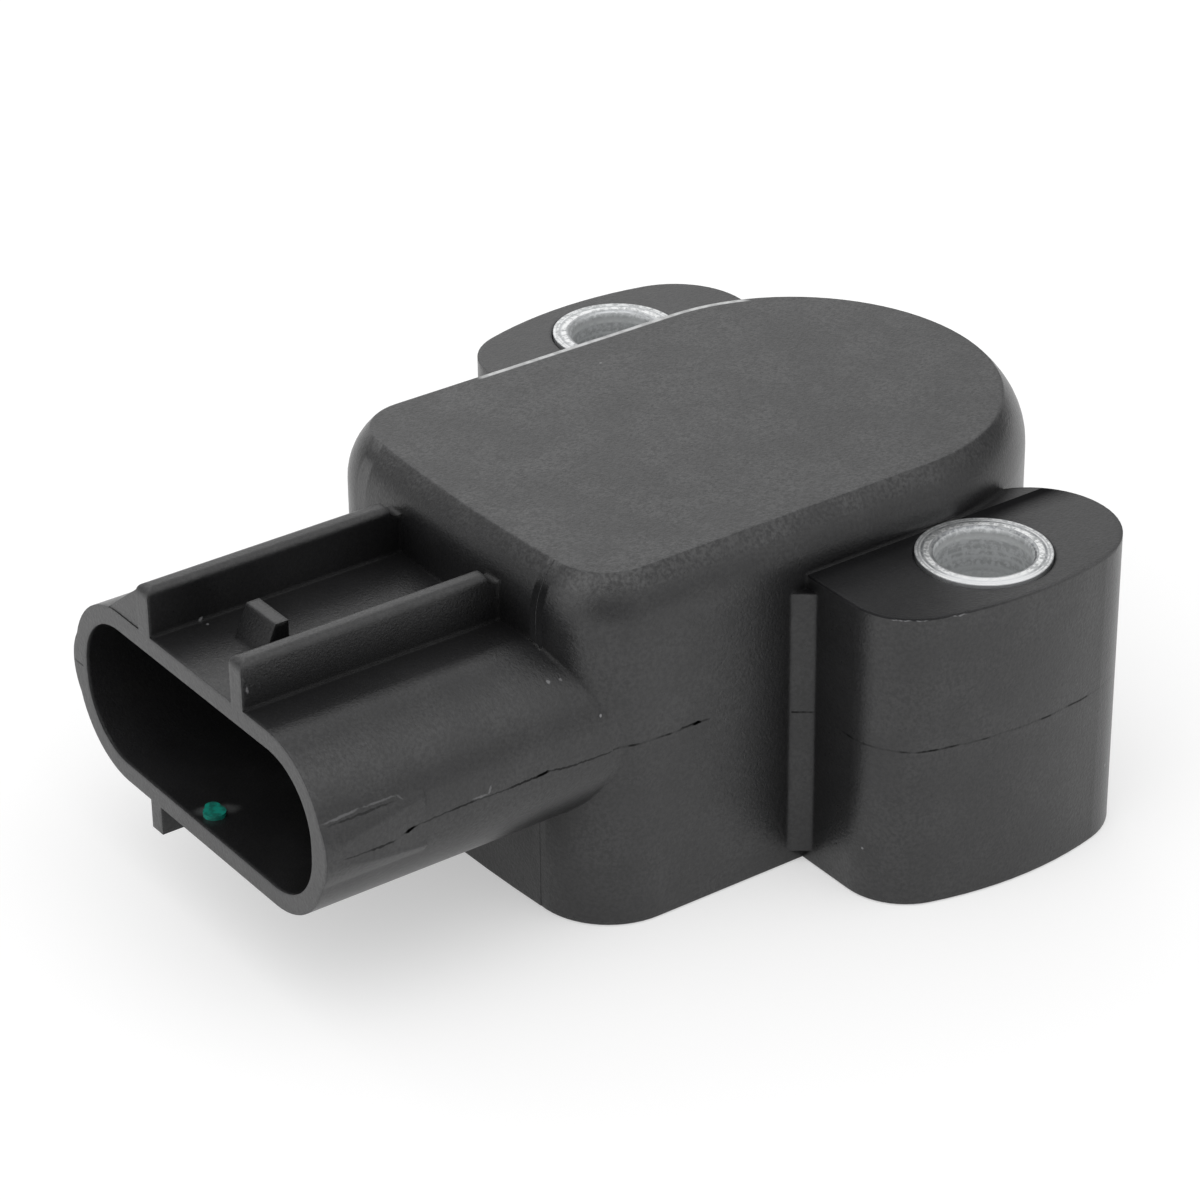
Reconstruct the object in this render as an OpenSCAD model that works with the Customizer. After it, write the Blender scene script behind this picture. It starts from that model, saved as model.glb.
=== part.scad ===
// Throttle position sensor: a moulded plastic housing with two bushed fixing ears and a
// three-way plug socket. Inside, a sprung rotor sweeps a wiper over a printed track.
// Origin: midway between the two fixing holes, on the mounting face. +Z points up through
// the domed top, and the plug socket points to -Y.

/* [Housing body] */
// Width of the body across its flat sides
body_w = 27; // [26:0.5:30]
// Distance from the hole line to the middle of the front wall
body_front = 24.8; // [23.5:0.1:28]
// Radius of the body's two front corners, seen from above
body_corner_r = 4.7; // [4.7:0.1:6]
// Radius of the slight outward bow of the front wall
front_bow_r = 110; // [80:5:400]
// Distance that the round end's centre lies behind the hole line
round_end_shift = 0.3; // [0:0.1:1]
// Rise of the dome's flat top above the ears
dome_rise = 3.3; // [2.4:0.1:4]
// Radius of the shoulder between the dome's wall and its flat top
shoulder_r = 4.6; // [4.2:0.1:4.6]
// Thickness of the dome's roof
roof_t = 2.6; // [1.8:0.1:3]

/* [Fixing ears] */
// Distance between the two fixing holes
hole_spacing = 35; // [34.5:0.5:38]
// Height of the ears above the mounting face
ear_h = 18.6; // [18:0.1:20]
// Distance from the origin to the outermost point of an ear
ear_reach = 22.5; // [22.3:0.1:25]
// Distance from the hole line to the ear's flat front
ear_front = 9.4; // [8.8:0.1:10.5]
// Radius of the ear's front corner
ear_front_r = 4; // [3:0.1:4.6]
// Radius of the ear's rear corner
ear_rear_r = 5; // [4.8:0.1:5.4]
// Distance from the hole line to the rear corner's centre
ear_rear_y = 4.1; // [3.5:0.1:4.5]
// Width of the slanted web along the ear's front
web_x = 0.85; // [0.6:0.05:2]
// Width of the slanted web along the body's side
web_y = 1.1; // [0.8:0.1:2]
// Distance that the web stops below the top of the ear
web_drop = 0.9; // [0.3:0.1:2]
// Height of the web's lower end above the mounting face
web_foot = 0.8; // [0.4:0.1:3]

/* [Fixing bushes] */
// Outer diameter of a bush
bush_od = 7.8; // [7:0.1:8]
// Bore of a bush, for an M5 screw
bush_id = 5.5; // [5.2:0.1:5.8]
// Height that a bush stands above its ear
bush_proud = 0.15; // [0.05:0.05:0.3]
// Radius of the rounded lip at the mouth of a bush
bush_lip = 0.35; // [0.2:0.05:0.5]
// Width of the bevel round the bush's hole in the ear
bush_gap = 0.18; // [0.1:0.02:0.3]

/* [Plug socket] */
// Distance from the hole line to the mouth of the socket
mouth_y = 41.2; // [40:0.1:46]
// Height of the socket's centre above the mounting face
socket_z = 11.75; // [11.2:0.05:12]
// Inner width of the socket
socket_w = 23.7; // [22.6:0.1:24.1]
// Inner height of the socket
socket_h = 8.7; // [8.3:0.1:9]
// Inner corner radius of the socket
socket_r = 4; // [3:0.1:4.1]
// Wall of the socket
socket_wall = 1.15; // [0.9:0.05:1.3]
// Depth of the socket, from its mouth to its floor
socket_depth = 14.6; // [12:0.1:15]
// Thickness of the two side pads at the mouth
pad_t = 0.35; // [0.2:0.05:0.6]
// Radius of the pad's rounded face, seen from the mouth
pad_r = 3.4; // [3:0.1:4]
// Length over which a side pad fades into the wall
pad_len = 6.5; // [4:0.5:12]

/* [Socket guides] */
// Distance between the middles of the two guide rails
rail_pitch = 9.7; // [8:0.1:12]
// Thickness of a guide rail
rail_t = 1.2; // [0.8:0.1:1.6]
// Height of a guide rail above the socket
rail_h = 2.95; // [2:0.05:3.2]
// Radius of a rail's top corner at the socket's mouth
rail_nose_r = 0.6; // [0.4:0.1:0.9]
// Radius of the edges along a rail's top
rail_edge_r = 0.4; // [0.2:0.05:0.5]
// Radius of the rounded dip where a rail meets the body
rail_dip_r = 0.6; // [0.3:0.1:1]
// Width of the latch ramp
latch_w = 3; // [2:0.1:5]
// Height of the latch ramp
latch_h = 1.95; // [1:0.05:2.4]
// Length of the latch ramp's flat top
latch_land = 0.8; // [0.4:0.1:2]
// Length of the latch ramp's slope
latch_slope = 0.9; // [0.4:0.1:3]
// Distance from the mouth to the back of the latch ramp
latch_back = 5.45; // [4:0.05:10]
// Spread of the brace beside the left rail
brace_w = 3.9; // [2:0.1:5]
// Thickness of the brace
brace_t = 1.2; // [0.8:0.1:2]
// Width of the key rib under the socket
key_w = 1.1; // [0.8:0.1:2]
// Height of the key rib
key_h = 1.8; // [1:0.1:2.5]
// Length of the key rib
key_len = 12; // [4:0.5:15]

/* [Inner chamber] */
// Width of the terminal bay in front of the chamber
bay_w = 18; // [17:0.1:19]
// Distance from the hole line to the bay's front wall
bay_front = 21.4; // [21:0.1:21.8]
// How far the cover's seat reaches past the chamber's wall at the round end
seat_step = 1.3; // [1.1:0.1:1.5]
// Width of the cover's seat over the bay
seat_w = 21; // [20:0.1:21.6]
// Distance from the hole line to the front of the cover's seat
seat_front = 22.7; // [22.4:0.1:23]
// Depth of the cover's seat from the mounting face
seat_depth = 2.8; // [2.6:0.1:3.2]

/* [Base cover] */
// Thickness of the cover
cover_t = 2.4; // [2:0.1:2.6]
// Clearance between the cover's edge and its seat
cover_gap = 0.1; // [0.05:0.01:0.2]

/* [Rotor] */
// Diameter of the rotor where it passes through the cover
hub_d = 11.2; // [10.6:0.1:11.6]
// Radial running clearance of the rotor in the cover and in its sleeve
run_gap = 0.06; // [0.04:0.01:0.09]
// Diameter of the rotor's body above the cover
drum_d = 12.8; // [12.4:0.1:13]
// How far the rotor's flange reaches past the resistive track's middle
flange_over = 0.9; // [0.8:0.05:1.1]
// Height of the flange's underside above the mounting face
flange_z = 9.9; // [9.6:0.1:10]
// Thickness of the flange
flange_t = 2.1; // [1.8:0.1:2.2]
// Diameter of the rotor's upper journal
journal_d = 5; // [4.4:0.1:5.2]
// Length of the rotor's upper journal above the flange
journal_len = 5.4; // [4.5:0.1:5.6]
// Width of the drive slot for the throttle shaft
slot_w = 3.2; // [2.5:0.1:4]
// Length of the drive slot
slot_len = 8.4; // [7:0.1:9]
// Depth of the drive slot
slot_depth = 7; // [5:0.1:9]
// Turn of the rotor from closed to fully open throttle
travel = 100; // [80:1:110]
// Width of the stop tab on the flange
stop_w = 2.4; // [2:0.1:3]
// Running clearance between the stop tab and the chamber wall
stop_gap = 0.35; // [0.3:0.05:0.5]

/* [Bearing] */
// Outer diameter of the bearing sleeve
sleeve_d = 6.8; // [6.4:0.1:7]
// Length of the bearing sleeve
sleeve_len = 4.6; // [3.5:0.1:4.8]
// Thickness of the thrust washer
washer_t = 0.5; // [0.3:0.05:0.6]
// Outer diameter of the bearing boss in the roof
boss_d = 9.4; // [9.2:0.1:9.6]

/* [Return spring] */
// Wire diameter of the spring
wire_d = 0.8; // [0.6:0.05:0.9]
// Mean diameter of the coil
coil_d = 14.8; // [14.6:0.1:15.2]
// Rise of the coil for each turn
coil_pitch = 1.05; // [0.95:0.05:1.2]
// Number of whole turns
coil_turns = 4; // [3:1:4]

/* [Track board] */
// Thickness of the board
board_t = 1; // [0.8:0.1:1.2]
// Gap between the board's round end and the housing's wall
board_gap = 0.4; // [0.3:0.05:0.7]
// Gap between the board's hole and the bearing boss
boss_gap = 0.4; // [0.3:0.05:0.5]
// Width of the board's front tongue
board_w = 16.4; // [16:0.1:16.8]
// Distance from the hole line to the board's front edge
board_front = 16.6; // [16:0.1:16.8]
// Height of the board's underside above the mounting face
board_z = 14.2; // [14:0.1:14.4]
// Thickness of a printed track
track_t = 0.12; // [0.1:0.01:0.15]
// Distance of the collector track's inner edge from the board's hole
hole_edge = 0.3; // [0.2:0.05:0.4]
// Distance of the resistive track's middle from the board's round edge
track_in = 2.2; // [2.1:0.05:2.3]
// Distance between the middles of the two tracks
track_step = 1.9; // [1.8:0.05:2]
// Width of a printed track
track_w = 1.4; // [1:0.1:1.4]

/* [Wiper] */
// Thickness of the wiper's spring sheet
wiper_t = 0.25; // [0.2:0.01:0.3]
// Width of a wiper finger
finger_w = 0.9; // [0.6:0.1:1]
// Angle of the fingers at closed throttle, measured from the +X axis
wiper_angle = 40; // [35:1:45]
// Gap between a finger's tip and its track
finger_gap = 0.05; // [0.03:0.01:0.1]
// Shank diameter of the wiper's rivets
rivet_d = 1.1; // [0.9:0.1:1.2]

/* [Terminals] */
// Distance between the middles of two terminals
pin_pitch = 6.4; // [5.8:0.1:6.8]
// Width of a terminal blade
pin_w = 2.8; // [2.2:0.1:3]
// Thickness of a terminal blade
pin_t = 0.8; // [0.6:0.05:0.9]
// Distance from the socket's mouth to the tips of the blades
pin_setback = 5.6; // [5:0.1:7]
// Thickness of a board clip
clip_t = 0.4; // [0.3:0.05:0.5]
// Length of a board clip's legs
clip_leg = 3; // [2:0.1:3.5]
// Thickness of the sealant behind the socket's floor
sealant_t = 1; // [0.6:0.1:1.2]

/* [Seals] */
// Thickness of the rubber seals
seal_t = 1.1; // [0.9:0.1:1.2]
// Radial width of the rotor's seal
shaft_seal_w = 1.5; // [1.2:0.1:1.6]
// Mean radius of the flange seal in the cover
flange_seal_r = 9.7; // [9.5:0.1:10]
// Radial width of the flange seal
flange_seal_w = 1.4; // [1.2:0.1:1.6]

/* [Inspection dab] */
// Length of the paint dab in the socket
dab_len = 1.6; // [1:0.1:3]
// Width of the paint dab's broad end
dab_w = 1.3; // [1:0.1:1.6]
// Width of the paint dab's narrow end
dab_tail_w = 0.9; // [0.6:0.1:1]
// Height of the paint dab
dab_h = 0.25; // [0.1:0.05:0.35]
// Distance from the mouth to the middle of the dab
dab_y = 1.15; // [1.1:0.05:3]
// Distance of the dab to the left of the socket's middle
dab_x = 0.45; // [0:0.05:3]

/* [Hidden] */

$fn = 96;
// Overlap that lets two solids of one moulding join, and a cut pass a face
lap = 0.5;
// Close fit of a part that is pressed or moulded into another
press_gap = 0.02;
// Gap between two parts that lie on each other and turn
slide_gap = 0.05;

half_w = body_w / 2;
dome_top = ear_h + dome_rise;
corner_x = half_w - body_corner_r;
bow_y = front_bow_r - body_front;
corner_y = bow_y - sqrt(pow(front_bow_r - body_corner_r, 2) - pow(corner_x, 2));
// The front's arc stops just short of the corners, so that no two surfaces graze
bow_angle = asin(corner_x / (front_bow_r - body_corner_r)) - 0.25;
hole_x = hole_spacing / 2;

shell_w = socket_w + 2 * socket_wall;
shell_h = socket_h + 2 * socket_wall;
shell_r = socket_r + socket_wall;
shell_top = socket_z + shell_h / 2;
shell_end = corner_y;

roof_z = dome_top - roof_t;
drum_z = seat_depth + slide_gap;
flange_top = flange_z + flange_t;
washer_z = flange_top + slide_gap;
boss_z = washer_z + washer_t;
board_top = board_z + board_t;
board_hole_r = boss_d / 2 + boss_gap;
collector_r = board_hole_r + hole_edge + track_w / 2;
track_r = collector_r + track_step;
board_r = track_r + track_in;
chamber_r = board_r + board_gap;
seat_r = chamber_r + seat_step;
flange_d = 2 * (track_r + flange_over);
track_z = board_z - track_t;
clip_y = board_front + clip_t;
stop_r = chamber_r - stop_gap;
stop_angle = 2 * asin((stop_w + stop_gap) / 2 / (flange_d / 2));
stop_height = 0.5;
cover_z = seat_depth - cover_t;
hub_z = cover_z + 0.2;
pins = [-pin_pitch, 0, pin_pitch];

coil_r = coil_d / 2;
coil_z = seat_depth + wire_d;
coil_end = coil_z + coil_turns * coil_pitch;
coil_angle = 200;
coil_sides = 8;
coil_steps = 24;
leg_reach = chamber_r - 1.4;
leg_bend = 1;
leg_hole_r = wire_d / 2 + 0.2;
lug_w = 1.2;
lug_h = 2 * wire_d;
lug_shift = (wire_d + lug_w) / 2 + slide_gap;

tip_z = track_z - finger_gap;
finger_root = 3.6;
finger_bend = 2.9;
tip_flat = 0.35;
tip_turn = 0.6;
plate_in = 4.3;
plate_out = flange_d / 2 - 0.1;
rivets = [[5.2, collector_r - 2.5], [4.5, track_r - 1.7]];
rivet_depth = 1.6;
rivet_head_r = 1;
rivet_head_h = 0.3;

lead_w = 0.8;
lead_x = pin_pitch + 0.5;
pad_w = 2.6;
clip_w = 2.4;
pad_end = board_front - 0.2;

// The body, whose shouldered edge follows the outline all the way round
module around_body() {
    translate([0, round_end_shift, 0])
        rotate_extrude()
            edge_profile(half_w);
    intersection() {
        translate([0, round_end_shift, 0])
            rotate([90, 0, 0])
                linear_extrude(round_end_shift - corner_y)
                    mirrored_profile(half_w);
        translate([-body_w, -2 * body_front, -lap])
            cube([2 * body_w, 4 * body_front, dome_top + 2 * lap]);
    }
    for (side = [-1, 1])
        translate([side * corner_x, corner_y, 0])
            rotate_extrude()
                edge_profile(body_corner_r);
    translate([0, bow_y, 0])
        rotate([0, 0, -90 - bow_angle])
            rotate_extrude(angle = 2 * bow_angle, $fn = 360)
                translate([front_bow_r - body_corner_r, 0])
                    edge_profile(body_corner_r);
    translate([-corner_x, corner_y - lap, 0])
        cube([2 * corner_x, 2 * lap, dome_top]);
}

// Half a section through the body's wall and dome, out to the given radius
module edge_profile(r) {
    square([r, ear_h]);
    intersection() {
        translate([r - shoulder_r, ear_h])
            circle(r = shoulder_r);
        square([r, dome_top]);
    }
    if (r > shoulder_r)
        square([r - shoulder_r, dome_top]);
}

// The same section on both sides
module mirrored_profile(r) {
    edge_profile(r);
    mirror([1, 0])
        edge_profile(r);
}

// Outline of the right ear: its outer side is an arc about the origin
module ear_outline() {
    front_x = sqrt(pow(ear_reach - ear_front_r, 2) - pow(ear_front - ear_front_r, 2));
    rear_x = sqrt(pow(ear_reach - ear_rear_r, 2) - pow(ear_rear_y, 2));
    far = 2 * ear_reach;
    translate([front_x, ear_front_r - ear_front])
        circle(r = ear_front_r);
    translate([rear_x, ear_rear_y])
        circle(r = ear_rear_r);
    intersection() {
        circle(r = ear_reach, $fn = 180);
        polygon([[0, 0],
            far / ear_reach * [front_x, ear_front_r - ear_front],
            far / ear_reach * [rear_x, ear_rear_y]]);
    }
    translate([half_w / 2, -ear_front])
        square([front_x - half_w / 2, ear_front]);
    translate([half_w / 2, -lap])
        square([rear_x - half_w / 2, ear_rear_y + lap]);
}

// One ear with the slanted web that stiffens its inner corner
module ear() {
    linear_extrude(ear_h)
        ear_outline();
    translate([0, 0, web_foot])
        linear_extrude(ear_h - web_drop - web_foot)
            polygon([[half_w - lap, -ear_front - web_y], [half_w, -ear_front - web_y],
                [half_w + web_x, -ear_front], [half_w + web_x, -ear_front + lap],
                [half_w - lap, -ear_front + lap]]);
}

// Rounded box with its long edges along Y, from the mouth backwards
module socket_block(w, h, r, length) {
    translate([0, -mouth_y, socket_z])
        rotate([-90, 0, 0])
            linear_extrude(length) {
                square([w - 2 * r, h], center = true);
                square([w, h - 2 * r], center = true);
                for (x = [-1, 1], y = [-1, 1])
                    translate([x * (w / 2 - r), y * (h / 2 - r)])
                        circle(r = r);
            }
}

// Rounded pad on each side of the mouth, which fades into the wall
module side_pads() {
    for (side = [0, 1])
        mirror([side, 0, 0])
            intersection() {
                translate([shell_w / 2 + pad_t - pad_r, -mouth_y, socket_z])
                    rotate([-90, 0, 0])
                        cylinder(r = pad_r, h = pad_len);
                translate([0, 0, socket_z - pad_r])
                    linear_extrude(2 * pad_r)
                        polygon([[shell_w / 2 - 2 * lap, -mouth_y],
                            [shell_w / 2 + pad_t, -mouth_y],
                            [shell_w / 2, -mouth_y + pad_len],
                            [shell_w / 2 - 2 * lap, -mouth_y + pad_len]]);
            }
}

// Side view of a guide rail, whose top corner at the socket's mouth is rounded
module rail_side() {
    length = mouth_y - body_front + 2 * lap;
    translate([-mouth_y, shell_top - lap])
        square([length, rail_h + lap - rail_nose_r]);
    translate([rail_nose_r - mouth_y, shell_top - lap])
        square([length - rail_nose_r, rail_h + lap]);
    translate([rail_nose_r - mouth_y, shell_top + rail_h - rail_nose_r])
        circle(r = rail_nose_r);
}

// Cross section of a guide rail, rounded along both edges of its top
module rail_section() {
    translate([-rail_t / 2, shell_top - 2 * lap])
        square([rail_t, rail_h + 2 * lap - rail_edge_r]);
    translate([rail_edge_r - rail_t / 2, shell_top - 2 * lap])
        square([rail_t - 2 * rail_edge_r, rail_h + 2 * lap]);
    for (side = [-1, 1])
        translate([side * (rail_t / 2 - rail_edge_r), shell_top + rail_h - rail_edge_r])
            circle(r = rail_edge_r);
}

// Guide rail on top of the socket
module rail() {
    intersection() {
        translate([-rail_t, 0, 0])
            rotate([90, 0, 90])
                linear_extrude(2 * rail_t)
                    rail_side();
        translate([0, -body_front / 2, 0])
            rotate([90, 0, 0])
                linear_extrude(mouth_y)
                    rail_section();
    }
}

module rail_dip() {
    translate([-rail_t, -body_front, shell_top + rail_h])
        rotate([0, 90, 0])
            cylinder(r = rail_dip_r, h = 2 * rail_t, $fn = 32);
}

// Ramp that the plug's latch snaps over
module latch_ramp() {
    y_back = latch_back - mouth_y;
    translate([-latch_w / 2, 0, 0])
        rotate([90, 0, 90])
            linear_extrude(latch_w)
                polygon([[y_back, shell_top - lap], [y_back, shell_top + latch_h],
                    [y_back - latch_land, shell_top + latch_h],
                    [y_back - latch_land - latch_slope, shell_top],
                    [y_back - latch_land - latch_slope, shell_top - lap]]);
}

// Slanted brace between the left rail and the socket's shoulder
module rail_brace() {
    rail_edge = -rail_pitch / 2;
    translate([0, brace_t - mouth_y + slide_gap, 0])
        rotate([90, 0, 0])
            linear_extrude(brace_t)
                polygon([[rail_edge, shell_top - 2 * lap],
                    [rail_edge, shell_top + rail_h - rail_edge_r],
                    [rail_edge - rail_t / 2, shell_top + rail_h - rail_edge_r],
                    [rail_edge - rail_t / 2 - brace_w, shell_top - lap],
                    [rail_edge - rail_t / 2 - brace_w, shell_top - 2 * lap]]);
}

// Rib under the socket that keys the plug
module key_rib() {
    z_bottom = socket_z - shell_h / 2;
    translate([-rail_pitch / 2 - key_w / 2, 0, 0])
        rotate([90, 0, 90])
            linear_extrude(key_w)
                polygon([[-mouth_y, z_bottom + lap], [-mouth_y, z_bottom - key_h],
                    [-mouth_y + key_len - key_h, z_bottom - key_h],
                    [-mouth_y + key_len, z_bottom], [-mouth_y + key_len, z_bottom + lap]]);
}

// Seat of the base cover, or the cover itself when it is drawn smaller
module seat_outline(inset) {
    circle(r = seat_r - inset);
    translate([-seat_w / 2 + inset, -seat_front + inset])
        square([seat_w - 2 * inset, seat_front - inset]);
}

// Space inside the housing, above the cover
module chamber() {
    translate([0, 0, seat_depth - lap])
        cylinder(r = chamber_r, h = roof_z - seat_depth + lap);
    translate([-bay_w / 2, -bay_front, seat_depth - lap])
        cube([bay_w, bay_front, board_top + clip_t + lap - seat_depth + lap]);
}

// Ribs that stop the rotor's tab at both ends of its travel
module travel_stops() {
    rib_in = flange_d / 2 + stop_gap;
    for (turn = [-stop_angle, travel + stop_angle])
        rotate([0, 0, turn])
            translate([rib_in, -stop_w / 2, flange_z - stop_height])
                cube([chamber_r + lap - rib_in, stop_w, flange_t + 2 * stop_height]);
}

// Pillars that hold the board below the roof
module board_pillars() {
    for (turn = [20, 90, 160])
        rotate([0, 0, turn])
            translate([chamber_r - 1, 0, board_top])
                cylinder(r = 1.2, h = roof_z - board_top + lap, $fn = 32);
}

module housing() {
    color("#3a3b3c") {
        difference() {
            union() {
                around_body();
                for (side = [0, 1])
                    mirror([side, 0, 0])
                        ear();
                socket_block(shell_w, shell_h, shell_r, mouth_y + shell_end);
                side_pads();
                for (side = [-1, 1])
                    translate([side * rail_pitch / 2, 0, 0])
                        difference() {
                            rail();
                            rail_dip();
                        }
                latch_ramp();
                rail_brace();
                key_rib();
            }
            difference() {
                chamber();
                translate([0, 0, boss_z])
                    cylinder(d = boss_d, h = dome_top);
                travel_stops();
                board_pillars();
            }
            translate([0, 0, boss_z - lap])
                cylinder(d = sleeve_d + 2 * press_gap, h = sleeve_len + 2 * lap);
            translate([0, 0, -lap])
                linear_extrude(seat_depth + lap)
                    seat_outline(0);
            translate([0, -lap, 0])
                socket_block(socket_w, socket_h, socket_r, socket_depth + lap);
            for (x = pins)
                translate([x - pin_w / 2 - press_gap, -mouth_y, socket_z - pin_t / 2 - press_gap])
                    cube([pin_w + 2 * press_gap, mouth_y - bay_front + lap, pin_t + 2 * press_gap]);
            for (side = [-1, 1])
                translate([side * hole_x, 0, 0]) {
                    translate([0, 0, -lap])
                        cylinder(d = bush_od + 2 * press_gap, h = ear_h + 2 * lap);
                    translate([0, 0, ear_h - bush_gap])
                        cylinder(d1 = bush_od, d2 = bush_od + 4 * bush_gap, h = 2 * bush_gap);
                }
        }
    }
}

// The plate that closes the underside, with the rotor's bore, two seal grooves and the
// lugs that hold the spring's fixed leg
module base_cover() {
    color("#2f3031") {
        difference() {
            translate([0, 0, cover_z])
                linear_extrude(cover_t)
                    seat_outline(cover_gap);
            cylinder(d = hub_d + 2 * run_gap, h = 2 * seat_depth, center = true);
            cylinder(r = hub_d / 2 + shaft_seal_w + press_gap, h = cover_z + seal_t);
            difference() {
                cylinder(r = flange_seal_r + flange_seal_w / 2 + press_gap, h = cover_z + 0.9);
                translate([0, 0, -lap])
                    cylinder(r = flange_seal_r - flange_seal_w / 2 - press_gap, h = 2 * seat_depth);
            }
        }
        rotate([0, 0, coil_angle])
            for (side = [-1, 1])
                translate([leg_reach, side * lug_shift - leg_bend, seat_depth + lug_h / 2])
                    cube([lug_w, lug_w, lug_h + lap], center = true);
    }
}

// Turned bush: a tube with rounded lips at both ends of its bore
module bush() {
    wall = (bush_od - bush_id) / 2;
    length = ear_h + bush_proud;
    color("#cfd2d2")
        rotate_extrude()
            translate([bush_id / 2, 0]) {
                translate([0, bush_lip])
                    square([wall, length - 2 * bush_lip]);
                translate([bush_lip, 0])
                    square([wall - bush_lip, length]);
                for (z = [bush_lip, length - bush_lip])
                    translate([bush_lip, z])
                        circle(r = bush_lip, $fn = 32);
            }
}

module bush_left() {
    translate([-hole_x, 0, 0])
        bush();
}

module bush_right() {
    translate([hole_x, 0, 0])
        bush();
}

// The rotor: hub with the drive slot, drum, flange with its stop tab, and upper journal
module rotor() {
    color("#d9d4c4")
        difference() {
            union() {
                translate([0, 0, hub_z])
                    cylinder(d = hub_d, h = drum_z - hub_z + lap);
                translate([0, 0, drum_z])
                    cylinder(d = drum_d, h = flange_z - drum_z + lap);
                translate([0, 0, flange_z])
                    cylinder(d = flange_d, h = flange_t);
                translate([0, 0, flange_top - lap])
                    cylinder(d = journal_d, h = journal_len + lap);
                translate([0, -stop_w / 2, flange_z])
                    cube([stop_r, stop_w, flange_t]);
            }
            translate([0, 0, hub_z - lap])
                linear_extrude(slot_depth + lap)
                    intersection() {
                        square([slot_w, slot_len], center = true);
                        circle(d = slot_len);
                    }
            rotate([0, 0, coil_angle])
                translate([coil_r, leg_bend, flange_z - lap])
                    cylinder(r = leg_hole_r, h = flange_t - 0.4 + lap, $fn = 32);
            on_wiper()
                translate([0, 0, flange_top - rivet_depth - press_gap])
                    cylinder(d = rivet_d + 2 * press_gap, h = rivet_depth + lap, $fn = 32);
        }
}

// Places its child at each of the wiper's two rivets
module on_wiper() {
    rotate([0, 0, wiper_angle - 90])
        for (at = rivets)
            translate(at)
                children();
}

module bearing_sleeve() {
    color("#b98a45")
        translate([0, 0, boss_z])
            difference() {
                cylinder(d = sleeve_d, h = sleeve_len);
                translate([0, 0, -lap])
                    cylinder(d = journal_d + 2 * run_gap, h = sleeve_len + 2 * lap);
            }
}

module thrust_washer() {
    color("#a9abad")
        translate([0, 0, washer_z])
            difference() {
                cylinder(d = boss_d - 1, h = washer_t);
                translate([0, 0, -lap])
                    cylinder(d = journal_d + 4 * run_gap, h = washer_t + 2 * lap);
            }
}

// Ring of points round the wire, in the plane of the two directions given
function wire_ring(centre, out, up) = [for (k = [0:coil_sides - 1])
    let (u = 360 * k / coil_sides)
    centre + wire_d / 2 * (cos(u) * out + sin(u) * up)];

// Torsion spring: a fixed leg that runs outwards, the coil, and a leg that drives the rotor
module return_spring() {
    z_axis = [0, 0, 1];
    leg_top = flange_z + flange_t / 2;
    rings = concat(
        [wire_ring([leg_reach, -leg_bend, coil_z], [0, 1, 0], z_axis)],
        [for (a = [0:15:75])
            wire_ring([coil_r + leg_bend * (1 - sin(a)), -leg_bend * cos(a), coil_z],
                [sin(a), cos(a), 0], z_axis)],
        [for (i = [0:coil_turns * coil_steps])
            let (turn = 360 * i / coil_steps, out = [cos(turn), sin(turn), 0])
            wire_ring(coil_r * out + (coil_z + coil_pitch * turn / 360) * z_axis, out, z_axis)],
        [for (a = [15:15:90])
            wire_ring([coil_r, leg_bend * sin(a), coil_end + leg_bend * (1 - cos(a))],
                [1, 0, 0], [0, -sin(a), cos(a)])],
        [wire_ring([coil_r, leg_bend, leg_top], [1, 0, 0], [0, -1, 0])]);
    last = len(rings) - 1;
    sides = [for (i = [0:last - 1], k = [0:coil_sides - 1])
        let (a = i * coil_sides + k, b = i * coil_sides + (k + 1) % coil_sides)
        each [[a, a + coil_sides, b + coil_sides], [a, b + coil_sides, b]]];
    first_end = [for (k = [1:coil_sides - 2]) [0, k, k + 1]];
    last_end = [for (k = [1:coil_sides - 2]) last * coil_sides * [1, 1, 1] + [0, k + 1, k]];
    color("#b5b8ba")
        rotate([0, 0, coil_angle])
            polyhedron(points = [for (r = rings) each r],
                faces = concat(first_end, sides, last_end));
}

// Side view of a wiper finger: it rises from the plate to the contact at its tip
module finger_profile() {
    plate_top = flange_top + wiper_t;
    polygon([[finger_root, flange_top], [finger_root, plate_top], [finger_bend, plate_top],
        [tip_flat, tip_z], [0, tip_z], [-tip_turn, tip_z - tip_turn / 2],
        [-tip_turn, tip_z - tip_turn / 2 - wiper_t], [0, tip_z - wiper_t],
        [finger_bend - wiper_t / 2, flange_top]]);
}

module wiper() {
    color("#c9a85a")
        difference() {
            rotate([0, 0, wiper_angle - 90]) {
                translate([0, 0, flange_top])
                    linear_extrude(wiper_t)
                        intersection() {
                            difference() {
                                circle(r = plate_out);
                                circle(r = plate_in);
                            }
                            translate([finger_bend, 1.4])
                                square([flange_d / 2, flange_d / 2]);
                        }
                for (r = [collector_r, track_r])
                    translate([0, r + finger_w / 2, 0])
                        rotate([90, 0, 0])
                            linear_extrude(finger_w)
                                finger_profile();
            }
            on_wiper()
                translate([0, 0, flange_top - lap])
                    cylinder(d = rivet_d + 2 * press_gap, h = 2 * lap, $fn = 32);
        }
}

module wiper_rivets() {
    color("#c6c8c8")
        on_wiper() {
            translate([0, 0, flange_top - rivet_depth])
                cylinder(d = rivet_d, h = rivet_depth + wiper_t + lap / 2, $fn = 32);
            translate([0, 0, flange_top + wiper_t])
                cylinder(r1 = rivet_head_r, r2 = rivet_head_r - rivet_head_h / 2,
                    h = rivet_head_h, $fn = 32);
        }
}

// Ring of a printed track or of the board, seen from above
module ring(r, w) {
    difference() {
        circle(r = r + w / 2);
        circle(r = r - w / 2);
    }
}

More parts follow.
